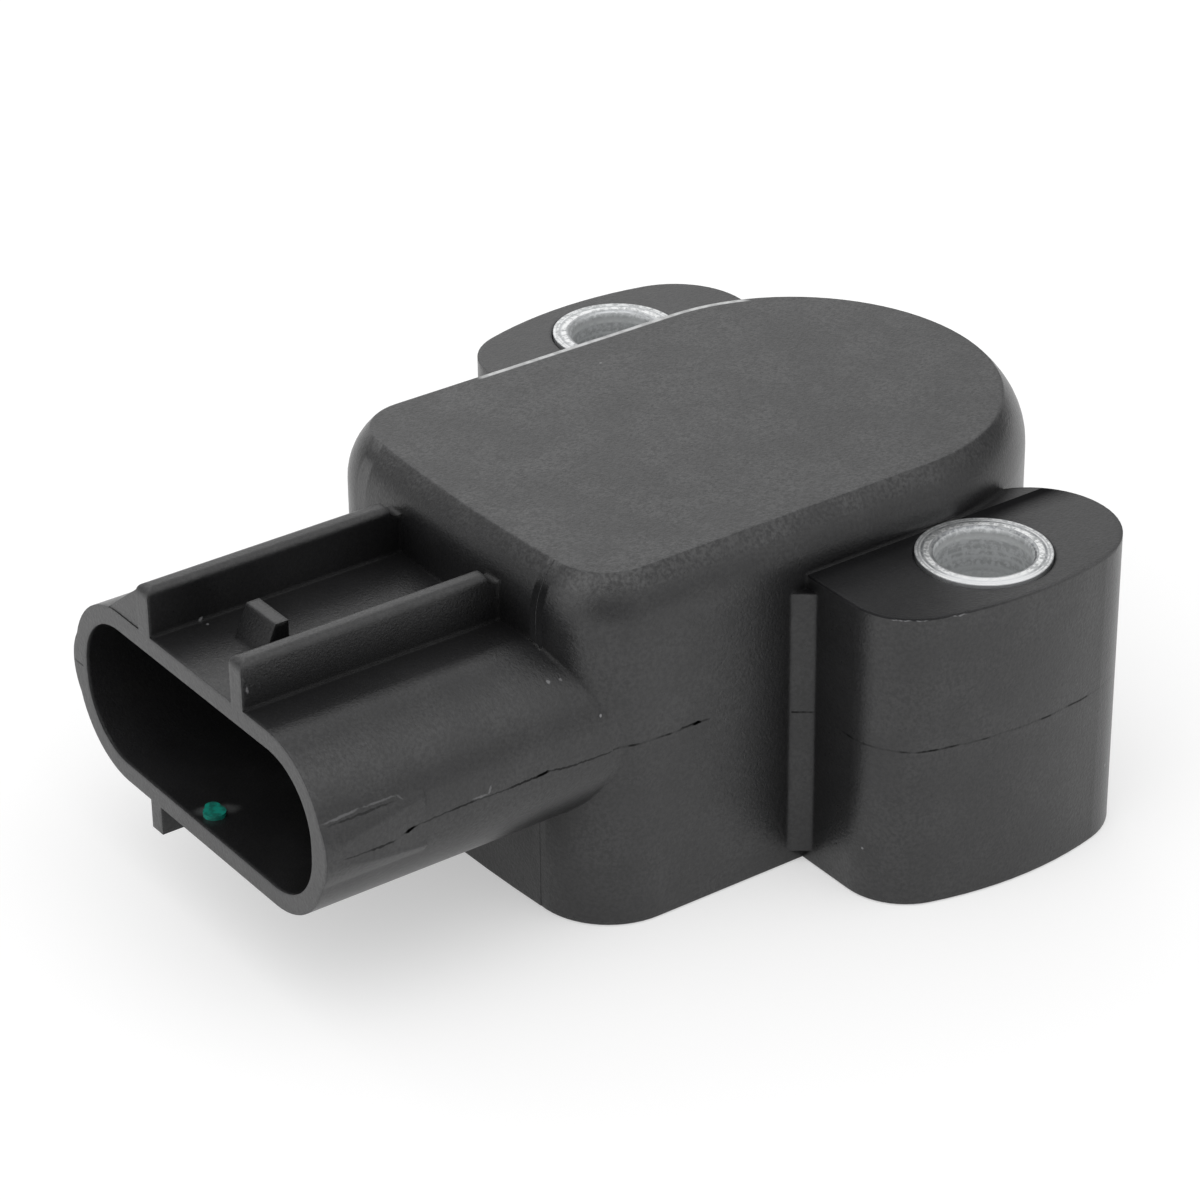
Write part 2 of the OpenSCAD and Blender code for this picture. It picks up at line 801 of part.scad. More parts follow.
module track_board() {
    color("#e2ddd0")
        translate([0, 0, board_z])
            linear_extrude(board_t)
                difference() {
                    union() {
                        circle(r = board_r);
                        translate([-board_w / 2, -board_front])
                            square([board_w, board_front]);
                    }
                    circle(r = board_hole_r);
                }
}

// Straight printed lead that widens to a pad at the board's front edge
module lead(x, pad_x, from_y) {
    translate([x - lead_w / 2, -pad_end])
        square([lead_w, pad_end - from_y]);
    translate([pad_x - pad_w / 2, -pad_end])
        square([pad_w, clip_leg + 0.4]);
}

module resistive_track() {
    end_y = sqrt(pow(track_r, 2) - pow(lead_x, 2));
    far = 2 * track_r;
    color("#26221f")
        translate([0, 0, track_z])
            linear_extrude(track_t) {
                difference() {
                    ring(track_r, track_w);
                    polygon([[0, 0], far / track_r * [-lead_x, -end_y], [0, -2 * far],
                        far / track_r * [lead_x, -end_y]]);
                }
                for (side = [-1, 1])
                    lead(side * lead_x, side * pin_pitch, end_y - track_w / 4);
            }
}

module collector_track() {
    color("#8f9196")
        translate([0, 0, track_z])
            linear_extrude(track_t) {
                difference() {
                    ring(collector_r, track_w);
                    translate([lead_w / 2, -2 * collector_r])
                        square([2 * collector_r, 2 * collector_r]);
                }
                lead(0, 0, collector_r - track_w / 4);
            }
}

// One terminal: a blade through the socket's floor and a riser beside its board clip
module terminal(x) {
    tip = pin_setback - mouth_y;
    bevel = 1;
    color("#c8b06a")
        translate([x - pin_w / 2, 0, socket_z])
            rotate([90, 0, 90])
                linear_extrude(pin_w)
                    polygon([[tip, -pin_t / 5], [tip + bevel, -pin_t / 2],
                        [-clip_y, -pin_t / 2], [-clip_y, board_top + clip_t - socket_z],
                        [-clip_y - pin_t, board_top + clip_t - socket_z],
                        [-clip_y - pin_t, pin_t / 2], [tip + bevel, pin_t / 2],
                        [tip, pin_t / 5]]);
}

module terminal_supply() {
    terminal(pins[0]);
}

module terminal_signal() {
    terminal(pins[1]);
}

module terminal_ground() {
    terminal(pins[2]);
}

// Spring clip that grips the board's edge and stands against its terminal
module board_clip(x) {
    under = track_z - clip_t;
    color("#c8b06a")
        translate([x - clip_w / 2, 0, 0])
            rotate([90, 0, 90])
                linear_extrude(clip_w)
                    polygon([[-clip_y, under], [clip_leg - board_front, under],
                        [clip_leg - board_front, track_z], [-board_front, track_z],
                        [-board_front, board_top], [clip_leg - board_front, board_top],
                        [clip_leg - board_front, board_top + clip_t],
                        [-clip_y, board_top + clip_t]]);
}

module clip_supply() {
    board_clip(pins[0]);
}

module clip_signal() {
    board_clip(pins[1]);
}

module clip_ground() {
    board_clip(pins[2]);
}

// Sealant poured round the terminals behind the socket's floor
module terminal_sealant() {
    height = 5 * pin_t;
    color("#5b4632")
        difference() {
            translate([press_gap - bay_w / 2, -bay_front, socket_z - height / 2])
                cube([bay_w - 2 * press_gap, sealant_t, height]);
            for (x = pins)
                translate([x - pin_w / 2 - press_gap, -bay_front - lap, socket_z - pin_t / 2 - press_gap])
                    cube([pin_w + 2 * press_gap, sealant_t + 2 * lap, pin_t + 2 * press_gap]);
        }
}

// Rubber ring with a rounded lower lip
module seal_ring(inner, outer, z) {
    lip = (outer - inner) / 4;
    color("#1f1f20")
        rotate_extrude() {
            translate([inner, z + lip])
                square([outer - inner, seal_t - lip]);
            translate([inner + lip, z])
                square([outer - inner - 2 * lip, seal_t]);
            for (r = [inner + lip, outer - lip])
                translate([r, z + lip])
                    circle(r = lip, $fn = 32);
        }
}

module shaft_seal() {
    seal_ring(hub_d / 2 + slide_gap, hub_d / 2 + shaft_seal_w, cover_z);
}

module flange_seal() {
    seal_ring(flange_seal_r - flange_seal_w / 2, flange_seal_r + flange_seal_w / 2,
        cover_z + 0.9 - seal_t);
}

// Dab of paint on the socket's lower wall, just inside the mouth
module inspection_dab() {
    color("#0f6a5c")
        translate([-dab_x, dab_y - mouth_y, socket_z - socket_h / 2])
            linear_extrude(dab_h) {
                translate([(dab_len - dab_w) / 2, 0])
                    circle(d = dab_w, $fn = 32);
                translate([(dab_tail_w - dab_len) / 2, dab_tail_w / 5])
                    circle(d = dab_tail_w, $fn = 32);
            }
}

housing();
base_cover();
bush_left();
bush_right();
rotor();
bearing_sleeve();
thrust_washer();
return_spring();
wiper();
wiper_rivets();
track_board();
resistive_track();
collector_track();
terminal_supply();
terminal_signal();
terminal_ground();
clip_supply();
clip_signal();
clip_ground();
terminal_sealant();
shaft_seal();
flange_seal();
inspection_dab();
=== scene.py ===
import math

import bpy
from mathutils import Matrix, Vector


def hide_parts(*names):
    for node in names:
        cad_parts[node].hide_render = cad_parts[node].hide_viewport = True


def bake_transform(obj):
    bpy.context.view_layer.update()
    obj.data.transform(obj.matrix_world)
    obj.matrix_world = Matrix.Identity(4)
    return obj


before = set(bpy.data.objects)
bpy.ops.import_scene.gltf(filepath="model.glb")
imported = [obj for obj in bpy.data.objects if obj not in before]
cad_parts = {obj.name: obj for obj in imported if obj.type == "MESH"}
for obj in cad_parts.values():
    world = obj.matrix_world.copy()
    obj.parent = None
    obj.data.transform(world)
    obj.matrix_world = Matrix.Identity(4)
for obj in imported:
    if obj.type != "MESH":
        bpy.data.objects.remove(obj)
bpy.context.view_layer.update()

# ---- Housing ----
# One moulding of black glass-filled nylon: domed body, two fixing ears, plug socket with
# its rails, latch ramp and key rib. The mould's eroded steel leaves a fine grain, so the
# black is soft with a speckled sheen, and a thin line shows where the mould parted.
mm = 0.001
smooth = {"interpolation_type": "SMOOTHSTEP"}
colour = {"data_type": "RGBA"}


def linear(code):
    """An sRGB hex colour as linear red, green, blue and alpha."""
    out = []
    for i in (1, 3, 5):
        c = int(code[i:i + 2], 16) / 255
        out.append(c / 12.92 if c <= 0.04045 else ((c + 0.055) / 1.055) ** 2.4)
    return (*out, 1.0)


def add(kind, *given, **settings):
    """Adds a node to the tree in hand; Math.ADD is a Math node that adds. What is given goes
    on its inputs in turn, a setting on the node or on its input of that name. A node or a
    socket is linked, a hex code becomes a colour, and a number or vector is set."""
    kind, _, operation = kind.partition(".")
    made = tree.nodes.new(kind if "Node" in kind else "ShaderNode" + kind)
    if operation:
        made.operation = operation
    for name in list(settings):
        if hasattr(made, name):
            setattr(made, name, settings.pop(name))
    switched_on = [socket for socket in made.inputs if socket.enabled]
    named = [(made.inputs[name.replace("_", " ")], value) for name, value in settings.items()]
    for socket, value in [*zip(switched_on, given), *named]:
        if isinstance(value, bpy.types.Node):
            value = next(out for out in value.outputs if out.enabled)
        if isinstance(value, bpy.types.NodeSocket):
            tree.links.new(value, socket)
        else:
            socket.default_value = linear(value) if isinstance(value, str) else value
    return made


def begin(name):
    """Starts a material, whose tree is then in hand, and gives the object's coordinates."""
    global tree
    made = bpy.data.materials.new(name)
    made.use_nodes = True
    tree = made.node_tree
    tree.nodes.clear()
    return made, add("TexCoord").outputs["Object"]


def away(x, y):
    """Distance from the line on which both are 0."""
    squares = add("Math.ADD", add("Math.POWER", x, 2.0), add("Math.POWER", y, 2.0))
    return add("Math.POWER", squares, 0.5)


nylon, place = begin("glass_filled_nylon_moulded")
axes = add("SeparateXYZ", place).outputs
side = add("Math.ABSOLUTE", axes[0])

# Where the mould parted: a step lower on the ears and the webs beside them than on the
# body and the socket. It is clear in places and all but gone in others, and the ragged
# line further down takes its place on the socket's right side.
wall, web_end, outer = 13.56 * mm, 14.4 * mm, 12.3 * mm
seam_body, seam_ear, seam_sway = 11.63 * mm, 10.0 * mm, 0.16 * mm
height = add("Math.MULTIPLY_ADD", add("Math.GREATER_THAN", side, wall),
             seam_ear - seam_body, seam_body)
height = add("Math.MULTIPLY_ADD", add("TexNoise", place, Scale=1 / (1.4 * mm), Detail=1.0),
             seam_sway, height)
apart = add("Math.ABSOLUTE", add("Math.SUBTRACT", axes[2], height))
round_end = add("Math.MULTIPLY", add("Math.GREATER_THAN", axes[1], 0.0),
                add("Math.GREATER_THAN", away(axes[0], axes[1]), outer))
outside = add("Math.MAXIMUM", add("Math.GREATER_THAN", side, outer), round_end)
patchy = add("MapRange", add("TexNoise", place, Scale=1 / (1.3 * mm)), 0.42, 0.60, **smooth)
patchy = add("Math.MULTIPLY_ADD", patchy, 0.62, 0.20)
faint_ear = add("Math.MULTIPLY", add("Math.GREATER_THAN", side, web_end),
                add("MapRange", side, 17.2 * mm, 15.6 * mm, **smooth))
faint_wall = add("Math.MULTIPLY", add("MapRange", axes[1], -16.8 * mm, -15.6 * mm, **smooth),
                 add("Math.LESS_THAN", side, wall))
ragged = add("Math.MULTIPLY", add("Math.GREATER_THAN", axes[0], 0.0),
             add("Math.LESS_THAN", axes[1], -22.4 * mm))
fade = add("Math.MULTIPLY_ADD", add("Math.MAXIMUM", faint_ear, faint_wall), -0.85, 1.0)
fade = add("Math.MULTIPLY", fade, add("Math.SUBTRACT", 1.0, ragged))
seam = add("MapRange", apart, 0.10 * mm, 0.02 * mm, **smooth)
seam = add("Math.MULTIPLY", add("Math.MULTIPLY", seam, outside),
           add("Math.MULTIPLY", patchy, fade))

# Single marks are drawn on a position that noise shakes by a tenth of a millimetre, so
# that their edges are torn, as the real ones are
shaken = add("TexNoise", place, Scale=1 / (0.35 * mm), Roughness=0.6).outputs["Color"]
shaken = add("VectorMath.MULTIPLY_ADD", shaken, [0.2 * mm] * 3, [-0.1 * mm] * 3)
torn = add("VectorMath.ADD", place, shaken)


def strokes(rows):
    """A mask of thin marks that taper: both ends and half width in millimetres, and strength.
    A mark is drawn a little past its ends, because it fades out there."""
    total = None
    for start, end, half, strength in rows:
        start, end = Vector(start) * mm, Vector(end) * mm
        turn = (end - start).to_track_quat("X", "Z").to_euler()
        reach = (end - start).length * 0.6 + half * mm
        own = add("Mapping", torn, vector_type="TEXTURE", Location=(start + end) / 2,
                  Rotation=turn, Scale=(reach, half * mm, half * mm))
        mark = add("MapRange", add("VectorMath.LENGTH", own), 1.0, 0.45, To_Max=strength,
                   **smooth)
        total = mark if total is None else add("Math.MAXIMUM", total, mark)
    return total


def profile(value, points, across, up):
    """A line through points. Across and up are the first and last value of each side."""
    made = add("FloatCurve", Value=value)
    line = made.mapping.curves[0]
    points = [((x - across[0]) / (across[1] - across[0]), (y - up[0]) / (up[1] - up[0]))
              for x, y in points]
    line.points[0].location, line.points[1].location = points[0], points[-1]
    for x, y in points[1:-1]:
        line.points.new(x, y)
    for point in line.points:
        point.handle_type = "VECTOR"
    made.mapping.update()
    return made


# On the socket's right side the parting line is ragged: one curve is its height along the
# side, the other how deep it is, with short deep nicks where flash broke out. The pad
# there ends in a crease.
first, last, low, high = -41.0, -16.0, 11.2, 12.2
along = add("Math.MULTIPLY_ADD", axes[1], 1 / ((last - first) * mm), -first / (last - first))
drift = profile(along, (
    (-41.0, 11.60), (-40.1, 11.57), (-38.4, 11.40), (-36.8, 11.38), (-36.1, 11.60),
    (-35.45, 11.72), (-33.2, 11.82), (-31.6, 11.86), (-29.4, 11.80), (-26.6, 11.92),
    (-26.3, 11.85), (-25.0, 11.68), (-22.4, 11.62), (-18.2, 11.76), (-17.4, 11.76),
    (-16.0, 11.68)), (first, last), (low, high))
depth = profile(along, (
    (-41.0, 0.0), (-40.2, 0.0), (-40.0, 0.45), (-38.4, 0.45), (-38.2, 0.65), (-36.9, 0.65),
    (-36.6, 0.0), (-36.2, 0.2), (-36.0, 1.0), (-35.5, 1.0), (-35.3, 0.42), (-33.2, 0.45),
    (-32.9, 0.70), (-31.7, 0.65), (-31.4, 0.42), (-29.4, 0.48), (-29.1, 0.75), (-27.6, 0.75),
    (-27.4, 0.98), (-26.8, 0.98), (-26.6, 0.4), (-26.3, 0.65), (-25.0, 0.6), (-22.6, 0.5),
    (-22.4, 0.0), (-18.3, 0.0), (-18.1, 0.65), (-17.4, 0.75), (-17.2, 1.0), (-16.8, 1.0),
    (-16.6, 0.0), (-16.0, 0.0)), (first, last), (0.0, 1.0))
off_line = add("Math.SUBTRACT", add("SeparateXYZ", torn).outputs[2],
               add("Math.MULTIPLY_ADD", drift, (high - low) * mm, low * mm))
off_line = add("Math.DIVIDE", add("Math.ABSOLUTE", off_line),
               add("Math.MULTIPLY_ADD", depth, 0.13 * mm, 0.005 * mm))
nicks = add("Math.MULTIPLY", add("MapRange", off_line, 1.0, 0.45, **smooth), depth)
nicks = add("Math.MULTIPLY", nicks, add("Math.GREATER_THAN", axes[0], 12.2 * mm))
crease = strokes([((12.80, -40.9, 13.58), (12.80, -36.3, 13.62), 0.10, 0.45)])
seam = add("Math.MAXIMUM", seam, add("Math.MAXIMUM", nicks, crease))

# Handling left pale scratches and specks, in turn on the right ear's top edge, the
# socket's right side and pad, the rails, the latch ramp, the dome and the ear's side
scratches = strokes([
    ((20.0, -8.66, 18.43), (20.75, -7.95, 18.46), 0.08, 0.8),
    ((20.75, -7.95, 18.46), (21.3, -7.1, 18.46), 0.06, 0.6),
    ((21.69, -5.96, 18.45), (21.94, -4.96, 18.43), 0.06, 0.6),
    ((13.0, -31.7, 12.0), (13.0, -30.7, 11.98), 0.09, 0.35),
    ((13.0, -30.65, 12.0), (12.99, -30.5, 12.4), 0.09, 0.4),
    ((12.73, -41.0, 13.78), (12.69, -38.6, 13.90), 0.11, 0.32),
    ((12.69, -38.6, 13.90), (12.70, -36.3, 13.84), 0.09, 0.26),
    ((12.70, -36.3, 13.84), (12.83, -36.0, 13.56), 0.09, 0.20),
    ((11.05, -25.31, 16.13), (11.05, -25.25, 16.13), 0.13, 0.6),
    ((11.15, -24.6, 16.05), (11.15, -24.5, 16.05), 0.10, 0.4),
    ((12.66, -23.01, 13.93), (12.66, -22.95, 13.93), 0.12, 0.9),
    ((-4.25, -37.98, 17.31), (-4.25, -37.9, 17.4), 0.13, 0.6),
    ((-3.73, -37.85, 17.25), (-3.7, -37.8, 17.25), 0.11, 0.45),
    ((5.45, -40.85, 18.6), (5.45, -40.85, 18.3), 0.10, 0.5),
    ((-9.32, -7.09, 21.9), (-9.3, -7.05, 21.9), 0.11, 0.7),
    ((18.69, -9.35, 3.21), (18.69, -9.2, 3.25), 0.11, 0.7),
    ((21.42, 6.4, 4.25), (21.42, 6.5, 4.25), 0.12, 0.7)])

# A painted highlight: the dome's left edge is drawn pale along the border of the flat top
past = add("Math.MAXIMUM", add("Math.SUBTRACT", axes[1], 0.3 * mm), 0.0)
border = add("MapRange", away(axes[0], past), 11.74 * mm, 11.86 * mm, **smooth)
upper = add("MapRange", axes[2], 21.70 * mm, 21.84 * mm, **smooth)
stretch = add("Math.MULTIPLY", add("MapRange", axes[1], -14.2 * mm, -13.6 * mm, **smooth),
              add("MapRange", axes[1], 5.4 * mm, 4.6 * mm, **smooth))
rim_highlight = add("Math.MULTIPLY", add("Math.MULTIPLY", border, upper), stretch)
rim_highlight = add("Math.MULTIPLY", rim_highlight, add("Math.LESS_THAN", axes[0], 0.0))
thin = add("MapRange", add("TexNoise", place, Scale=1 / (0.7 * mm)), 0.35, 0.60, **smooth)
rim_highlight = add("Math.MULTIPLY", rim_highlight, add("Math.MULTIPLY_ADD", thin, 0.30, 0.60))

# The paint of the inspection dab left a thin grey film round itself
film = strokes([((-0.95, -40.3, 7.4), (-0.35, -39.1, 7.4), 0.75, 1.0)])

# Fine grain of the mould, cloudier flow marks, painted shade that darkens the corners, and
# pale edges, partly dust-pale wear and partly painted highlight, which lie where the Bevel
# node's rounded normal leaves the face's own
grain = add("TexNoise", place, Scale=1 / (0.16 * mm), Detail=3.0, Roughness=0.6)
clouds = add("TexNoise", place, Scale=1 / (5.0 * mm), Detail=3.0, Roughness=0.55)
clouds = add("MapRange", clouds, 0.42, 0.70, **smooth)
rounded = add("Bevel", samples=2, Radius=0.32 * mm)
true_normal = add("NewGeometry").outputs["Normal"]
edge = add("MapRange", add("VectorMath.DOT_PRODUCT", rounded, true_normal), 0.985, 0.80,
           **smooth)
crevice = add("AmbientOcclusion", samples=3, only_local=True, Distance=4.0 * mm)
crevice = crevice.outputs["AO"]
painted_shade = add("MapRange", crevice, 1.0, 0.35, **smooth)
wear_and_highlight = add("TexNoise", place, Scale=1 / (0.5 * mm), Detail=4.0, Roughness=0.7)
wear_and_highlight = add("Math.MULTIPLY", edge, add("Math.MULTIPLY_ADD", wear_and_highlight, 0.9, 0.05))
wear_and_highlight = add("Math.MULTIPLY", wear_and_highlight, add("MapRange", crevice, 0.72, 0.90, **smooth))

# The bowed front stands 0.02 mm proud of the corner at each of its ends, where the real
# one runs on without an edge, so neither the painted shade nor the pale edges are drawn there
bow_end, bow_front, bow_back = 8.72 * mm, -24.62 * mm, -22.85 * mm
joint = add("Math.ABSOLUTE", add("Math.SUBTRACT", side, bow_end))
joint = add("Math.MULTIPLY", add("MapRange", joint, 0.62 * mm, 0.42 * mm, **smooth),
            add("Math.GREATER_THAN", axes[2], 0.35 * mm))
joint = add("Math.MULTIPLY", joint,
            add("Math.MULTIPLY", add("Math.GREATER_THAN", axes[1], bow_front),
                add("Math.LESS_THAN", axes[1], bow_back)))
painted_shade = add("Math.MULTIPLY", painted_shade, add("Math.SUBTRACT", 1.0, joint))
wear_and_highlight = add("Math.MULTIPLY", wear_and_highlight, add("Math.SUBTRACT", 1.0, joint))

skin = add("Mix", grain, "#151516", "#242425", **colour)
skin = add("Mix", add("Math.MULTIPLY", clouds, 0.35), skin, "#2c2c2d", **colour)
# Painted shade: the corners are darkened towards near black
skin = add("Mix", add("Math.MULTIPLY", painted_shade, 0.7), skin, "#0a0a0a", **colour)
# Pale edges: partly wear, partly painted highlight
skin = add("Mix", add("Math.MULTIPLY", wear_and_highlight, 0.40), skin, "#77777a", **colour)
skin = add("Mix", add("Math.MULTIPLY", film, 0.5), skin, "#6a6c6c", **colour)
skin = add("Mix", scratches, skin, "#8a8a8c", **colour)
# Painted highlight along the dome's left edge
skin = add("Mix", rim_highlight, skin, "#d2d3d3", **colour)
skin = add("Mix", seam, skin, "#020202", **colour)

# Less gloss in corners and on the right ear's top beside the dome, which is painted shade,
# and in the seam; the eroded steel's print makes the gloss speckled all over, most of all on
# the flat top
ear_z, flat_z = 18.45 * mm, 21.0 * mm
inward = add("MapRange", add("Math.ADD", axes[0], axes[1]), 25.0 * mm, 12.0 * mm, **smooth)
inward = add("Math.MULTIPLY_ADD", inward, 0.68, 0.16)
by_dome = add("MapRange", axes[0], 16.4 * mm, 14.0 * mm, **smooth)
# Painted shade: the right ear's top loses gloss towards the dome
shaded_ear_top = add("Math.MULTIPLY", add("Math.GREATER_THAN", axes[0], wall),
              add("Math.GREATER_THAN", axes[2], ear_z))
shaded_ear_top = add("Math.MULTIPLY", shaded_ear_top, add("Math.MAXIMUM", inward, by_dome))
dull_and_shade = add("Math.MAXIMUM", add("Math.MULTIPLY", painted_shade, 0.5), shaded_ear_top)
dull_and_shade = add("Math.MAXIMUM", seam, dull_and_shade)
speckle = add("TexNoise", place, Scale=1 / (0.22 * mm), Detail=3.0, Roughness=0.6)
uneven = add("MapRange", add("TexNoise", place, Scale=1 / (3.0 * mm)), 0.35, 0.65, **smooth)
speckle = add("Math.MULTIPLY", add("MapRange", speckle, 0.32, 0.68, **smooth),
              add("Math.MULTIPLY_ADD", uneven, 0.5, 0.5))
amount = add("Math.MULTIPLY_ADD", add("Math.GREATER_THAN", axes[2], flat_z), 0.36, 0.34)
speckle = add("Math.MULTIPLY_ADD", add("Math.SUBTRACT", speckle, 0.37), amount, 1.06)
gloss = add("Math.MULTIPLY", add("Math.MULTIPLY_ADD", dull_and_shade, -1.0, 1.0), speckle)

# At the ends of the bowed front the normal is the bow's own, which turns up over the
# rounded shoulder, and the step's narrow face takes half of its own
shoulder_z, shoulder_rise, bow_bend = 20.38 * mm, 1.52 * mm, 8.7
lift = add("Math.DIVIDE", add("Math.SUBTRACT", axes[2], shoulder_z), shoulder_rise,
           use_clamp=True)
level = add("Math.SUBTRACT", 1.0, add("Math.POWER", lift, 2.0))
level = add("Math.POWER", level, 0.5)
bow = add("CombineXYZ", add("Math.MULTIPLY", add("Math.MULTIPLY", axes[0], bow_bend), level),
          add("Math.MULTIPLY", level, -1.0), lift)
normal = add("Mix", joint, rounded, bow, data_type="VECTOR")
across = add("Math.ABSOLUTE", add("SeparateXYZ", true_normal).outputs[0])
across = add("Math.MULTIPLY", joint, add("Math.GREATER_THAN", across, 0.5))
across = add("Math.MULTIPLY", across, 0.5)
normal = add("Mix", across, normal, true_normal, data_type="VECTOR")


def dress(nodes, material, **finish):
    """Ends the material in hand with its Principled shader and gives it to CAD nodes."""
    add("OutputMaterial", add("BsdfPrincipled", **finish))
    for name in nodes:
        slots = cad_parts[name].data.materials
        slots.clear()
        slots.append(material)


dress(["housing"], nylon, IOR=1.6, Base_Color=skin,
      Roughness=add("Math.MULTIPLY_ADD", grain, 0.12, 0.24),
      Specular_IOR_Level=add("Math.MULTIPLY", gloss, 0.5),
      Normal=add("Bump", Strength=1.0, Distance=0.022 * mm, Height=grain, Normal=normal))

# ---- Fixing bushes ----
# Tubes turned from steel bar and zinc plated, moulded into the ears so that the screws
# can't crush the plastic. The lathe leaves fine rings on the end and in the bore, and the
# zinc over them is cloudy. Painted light makes the left bush's end paler than the right's,
# and a painted highlight makes both whitest at the front right.
bore_r = 2.85 * mm
# Each bush's end has its own grey, as painted light: pale on the left, darker on the right
for name, x, painted_ring_light in (("bush_left", -17.5, "#c4c6c8"), ("bush_right", 17.5, "#85878a")):
    zinc, place = begin("zinc_plated_steel_turned_" + name[5:])
    axes = add("SeparateXYZ", add("Mapping", place, Location=(-x * mm, 0, 0))).outputs
    reach = away(axes[0], axes[1])
    # The rings are drawn coarser than the lathe's feed left them, so that they show
    turned = add("CombineXYZ", X=reach, Z=add("Math.MULTIPLY", axes[2], 0.3))
    rings = add("TexNoise", turned, Scale=1 / (0.22 * mm))
    spots = add("TexNoise", place, Scale=1 / (0.30 * mm), Detail=4.0, Roughness=0.65)
    in_bore = add("Math.LESS_THAN", reach, bore_r)
    # A painted highlight whitens the end and the cloudy zinc towards the front right
    painted_glint = add("Math.SUBTRACT", add("Math.MULTIPLY", axes[0], 0.81),
               add("Math.MULTIPLY", axes[1], 0.58))
    painted_glint = add("MapRange", painted_glint, 1.8 * mm, 3.2 * mm, **smooth)
    hollow = add("Mix", in_bore, add("Mix", painted_glint, painted_ring_light, "#e3e5e7", **colour), "#adafb0",
                 **colour)
    crest = add("Mix", in_bore, "#f7f8f8", "#dadcdc", **colour)
    metal = add("Mix", add("MapRange", rings, 0.40, 0.60, **smooth), hollow, crest, **colour)
    cloud = add("Mix", in_bore, add("Mix", painted_glint, "#b4b6b7", "#eceeef", **colour), "#cdcfd0",
                **colour)
    metal = add("Mix", add("MapRange", spots, 0.42, 0.62, **smooth), metal, cloud, **colour)
    dress([name], zinc, Base_Color=metal,
          Metallic=add("Math.MULTIPLY_ADD", in_bore, -0.50, 0.80),
          Roughness=add("Math.MULTIPLY_ADD", in_bore, 0.2,
                        add("Math.MULTIPLY_ADD", spots, 0.24, 0.20)),
          Normal=add("Bump", Strength=1.0, Distance=0.02 * mm, Height=rings,
                     Normal=add("Bevel", samples=4, Radius=0.1 * mm)))

# ---- Inspection dab ----
# A dab of paint put on by hand at the end of the line, thick in the middle and thin at
# its rim, where the black shows through. It dried in the open, so it is slightly matt.
paint, place = begin("inspection_paint_dried")
thick = add("MapRange", add("TexNoise", place, Scale=1 / (0.45 * mm)), 0.40, 0.60, **smooth)
dress(["inspection_dab"], paint, Roughness=0.45,
      Base_Color=add("Mix", thick, "#176a5e", "#14907e", **colour),
      Normal=add("Bump", Strength=1.0, Distance=0.03 * mm,
                 Height=add("TexNoise", place, Scale=1 / (0.3 * mm))))

# ---- Base cover ----
# A moulded plate pressed into the underside, of the same nylon. Its mould was eroded more
# coarsely, so it is duller than the housing.
cover, place = begin("cover_nylon_moulded")
grain = add("TexNoise", place, Scale=1 / (0.25 * mm), Detail=3.0, Roughness=0.6)
dress(["base_cover"], cover, Roughness=0.5,
      Base_Color=add("Mix", grain, "#161617", "#262627", **colour),
      Normal=add("Bump", Strength=1.0, Distance=0.03 * mm, Height=grain))

# ---- Rotor ----
# Turned by the throttle shaft through the slot in its hub; moulded of natural acetal,
# which is cream, slightly waxy and lets a little light in.
acetal, place = begin("natural_acetal_moulded")
dress(["rotor"], acetal, Roughness=0.38, Subsurface_Weight=0.1, Subsurface_Scale=0.4 * mm,
      Base_Color=add("Mix", add("TexNoise", place, Scale=1 / (3.0 * mm)), "#cfc8b4",
                     "#ddd7c6", **colour),
      Normal=add("Bump", Strength=1.0, Distance=0.01 * mm,
                 Height=add("TexNoise", place, Scale=1 / (0.3 * mm)),
                 Normal=add("Bevel", samples=4, Radius=0.15 * mm)))

# ---- Seals ----
# Two moulded rings of nitrile rubber: one wipes the rotor's hub, the other lies between
# the base cover and the throttle body. Matt black, faintly dusted with talc.
nitrile, place = begin("nitrile_rubber_moulded")
talc = add("TexNoise", place, Scale=1 / (0.6 * mm), Detail=4.0, Roughness=0.65)
talc = add("MapRange", talc, 0.45, 0.8, **smooth)
dress(["shaft_seal", "flange_seal"], nitrile, Roughness=0.62,
      Base_Color=add("Mix", talc, "#141415", "#3a3a39", **colour),
      Normal=add("Bump", Strength=1.0, Distance=0.02 * mm,
                 Height=add("TexNoise", place, Scale=1 / (0.2 * mm))))

# ---- Bearing sleeve ----
# Carries the rotor's upper journal in the roof's boss. Sintered bronze soaked in oil: its
# pressed grains show as brown specks in a dull yellow metal.
bronze, place = begin("sintered_bronze_oiled")
grains = add("TexNoise", place, Scale=1 / (0.12 * mm), Detail=3.0, Roughness=0.7)
grains = add("MapRange", grains, 0.4, 0.7, **smooth)
dress(["bearing_sleeve"], bronze, Metallic=1.0, Roughness=0.45,
      Base_Color=add("Mix", grains, "#a9773c", "#6d4a25", **colour))

# ---- Thrust washer and rivets ----
# The washer takes the rotor's thrust against the roof, the rivets hold the wiper. Both are
# made of rolled steel, whose bright streaks all run one way. They are drawn coarser than
# the rolls left them, so that they show.
steel, place = begin("spring_steel_stamped")
rolled = add("Mapping", place, Scale=(1.0, 14.0, 1.0))
streaks = add("TexNoise", rolled, Scale=1 / (0.8 * mm), Detail=3.0, Roughness=0.6)
dress(["thrust_washer", "wiper_rivets"], steel, Metallic=1.0,
      Base_Color=add("Mix", streaks, "#a7a9ab", "#c4c6c8", **colour),
      Roughness=add("Math.MULTIPLY_ADD", streaks, 0.2, 0.2))

